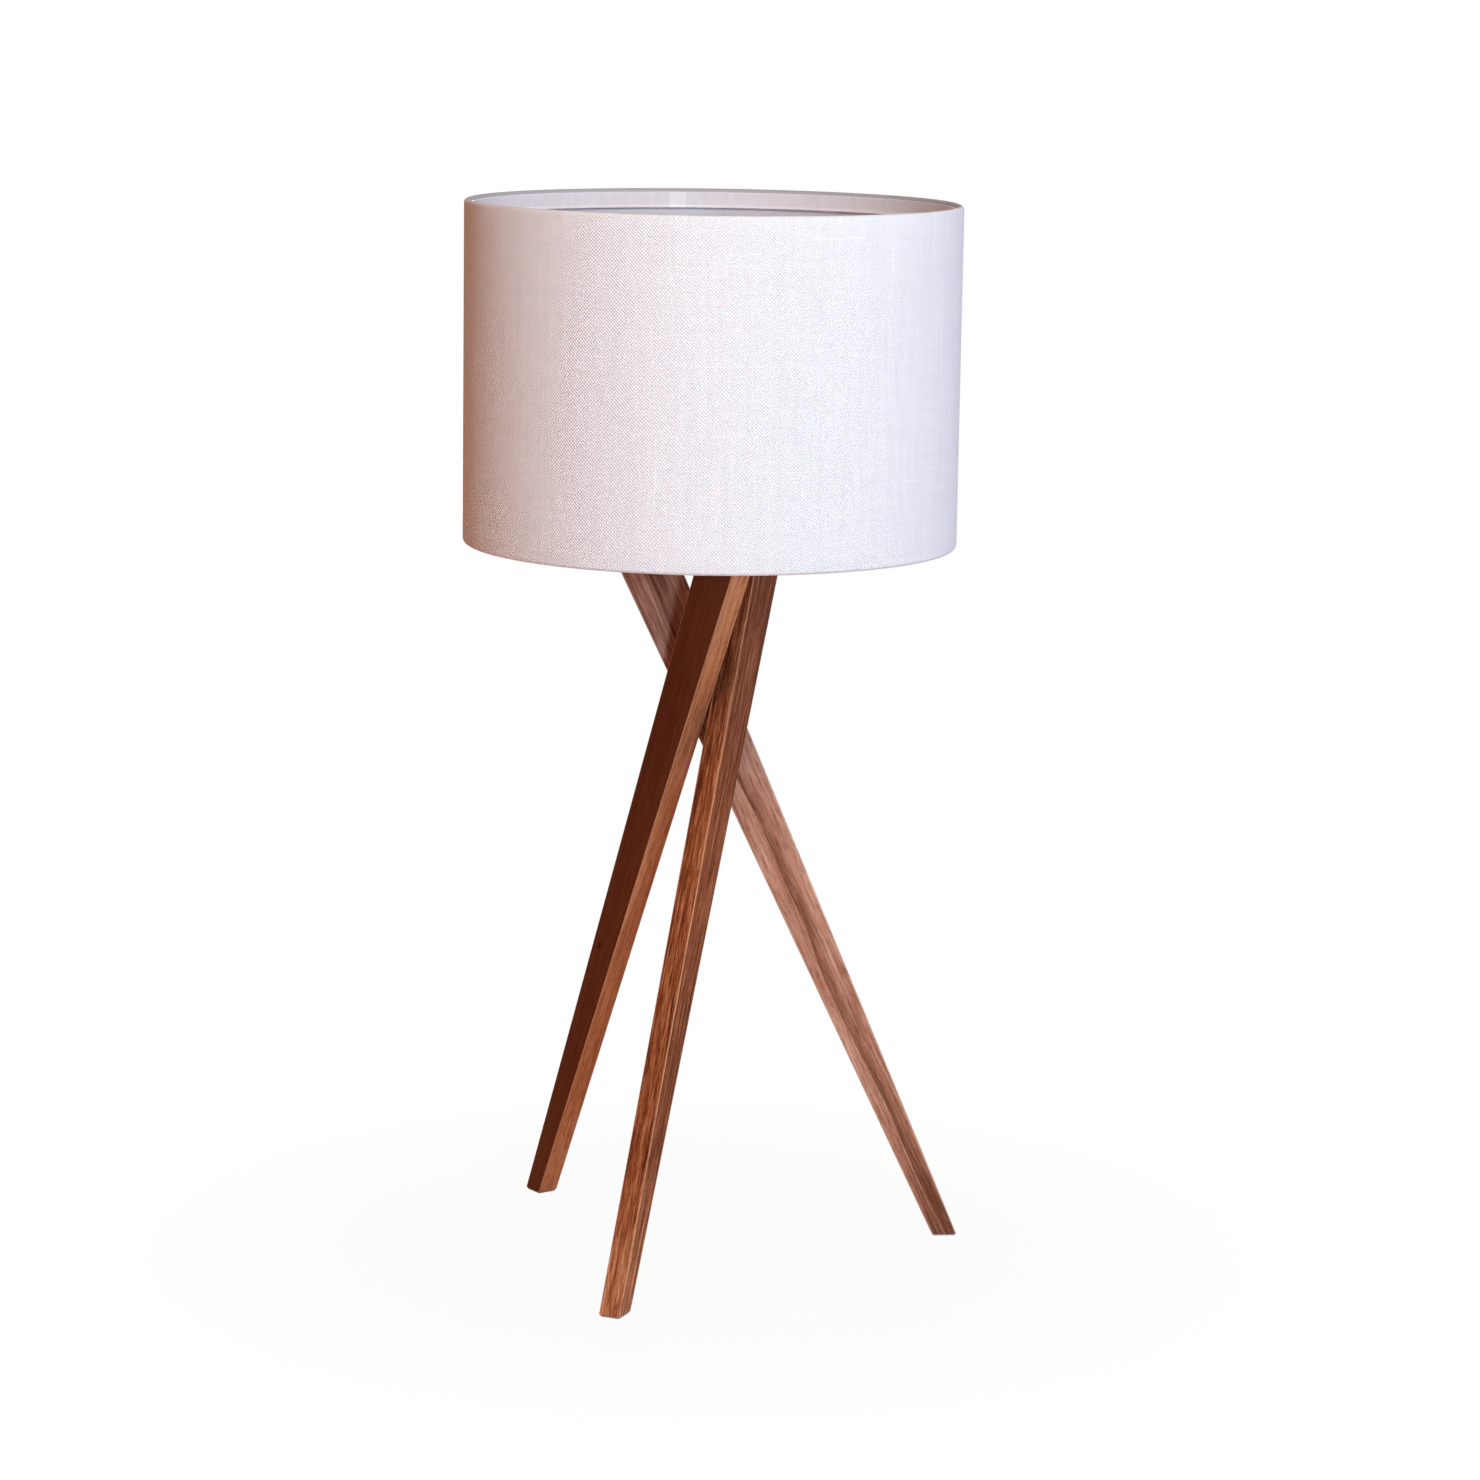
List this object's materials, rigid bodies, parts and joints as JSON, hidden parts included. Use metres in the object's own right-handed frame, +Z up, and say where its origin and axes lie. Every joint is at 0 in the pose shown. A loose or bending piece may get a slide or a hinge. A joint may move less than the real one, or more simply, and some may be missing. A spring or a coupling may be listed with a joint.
{
  "type": "tripod table lamp",
  "caption": "Table lamp with tapered walnut tripod legs that cross below a linen drum shade, a screw lamp holder with turn switch and a bulb.",
  "frame": {"origin": "on the lamp's vertical axis, at the level of the table that the feet stand on", "axes": "+Z up along the axis through the lamp holder; the view from -Y is the front, with the front foot a little to the left of the axis"},
  "size_m": [0.3641, 0.36, 0.7569],
  "materials": {
    "walnut": "oiled walnut",
    "felt": "pressed felt",
    "beech": "bare beech dowel",
    "black_steel": "satin black powder coat",
    "zinc_steel": "zinc plated steel",
    "black_plastic": "moulded black plastic",
    "bakelite": "moulded phenolic resin",
    "porcelain": "white glazed porcelain",
    "brass": "stamped brass",
    "linen": "slubbed off-white linen",
    "styrene": "translucent styrene lining",
    "white_wire": "white powder coat",
    "hem_tape": "glossy white hem tape",
    "nickel": "nickel plated brass",
    "black_glass": "black vitrite",
    "opal_glass": "opal white glass",
    "clear_glass": "clear glass",
    "phosphor": "yellow phosphor coat"
  },
  "bodies": {
    "stand": {"front_leg": "walnut", "right_leg": "walnut", "left_leg": "walnut", "foot_pads": "felt", "waist_block": "walnut", "waist_dowels": "beech", "top_plate": "black_steel", "plate_screws": "zinc_steel", "nipple": "zinc_steel", "nipple_washer": "zinc_steel", "nipple_nut": "zinc_steel", "cable_bush": "black_plastic", "holder_cap": "bakelite", "holder_body": "bakelite", "seat_ring": "bakelite", "holder_insulator": "porcelain", "terminals": "brass", "terminal_screws": "zinc_steel", "screw_shell": "brass", "centre_contact": "brass", "switch_block": "porcelain"},
    "switch": {"switch_shaft": "zinc_steel", "switch_knob": "bakelite"},
    "shade": {"shade_linen": "linen", "shade_lining": "styrene", "shade_top_wire": "white_wire", "shade_bottom_wire": "white_wire", "shade_top_band": "hem_tape", "shade_bottom_band": "hem_tape", "spider_hub": "white_wire", "spider_arms": "white_wire"},
    "ring": {"retaining_ring": "bakelite"},
    "bulb": {"bulb_cap": "nickel", "bulb_black_glass": "black_glass", "bulb_contact": "brass", "bulb_globe": "opal_glass", "bulb_stem": "clear_glass", "bulb_sticks": "phosphor"}
  },
  "joints": [
    {"name": "switch_turn", "type": "hinge", "parent": "stand", "child": "switch", "pos_m": [0, 0, 0.544], "axis": [1, 0, 0], "continuous": true},
    {"name": "shade_turn", "type": "hinge", "parent": "stand", "child": "shade", "pos_m": [0, 0, 0.573], "axis": [0, 0, 1], "continuous": true},
    {"name": "ring_unscrew", "type": "slide", "parent": "stand", "child": "ring", "axis": [0, 0, 1], "range_m": [0, 0.028]},
    {"name": "bulb_unscrew", "type": "slide", "parent": "stand", "child": "bulb", "axis": [0, 0, 1], "range_m": [0, 0.03]}
  ]
}
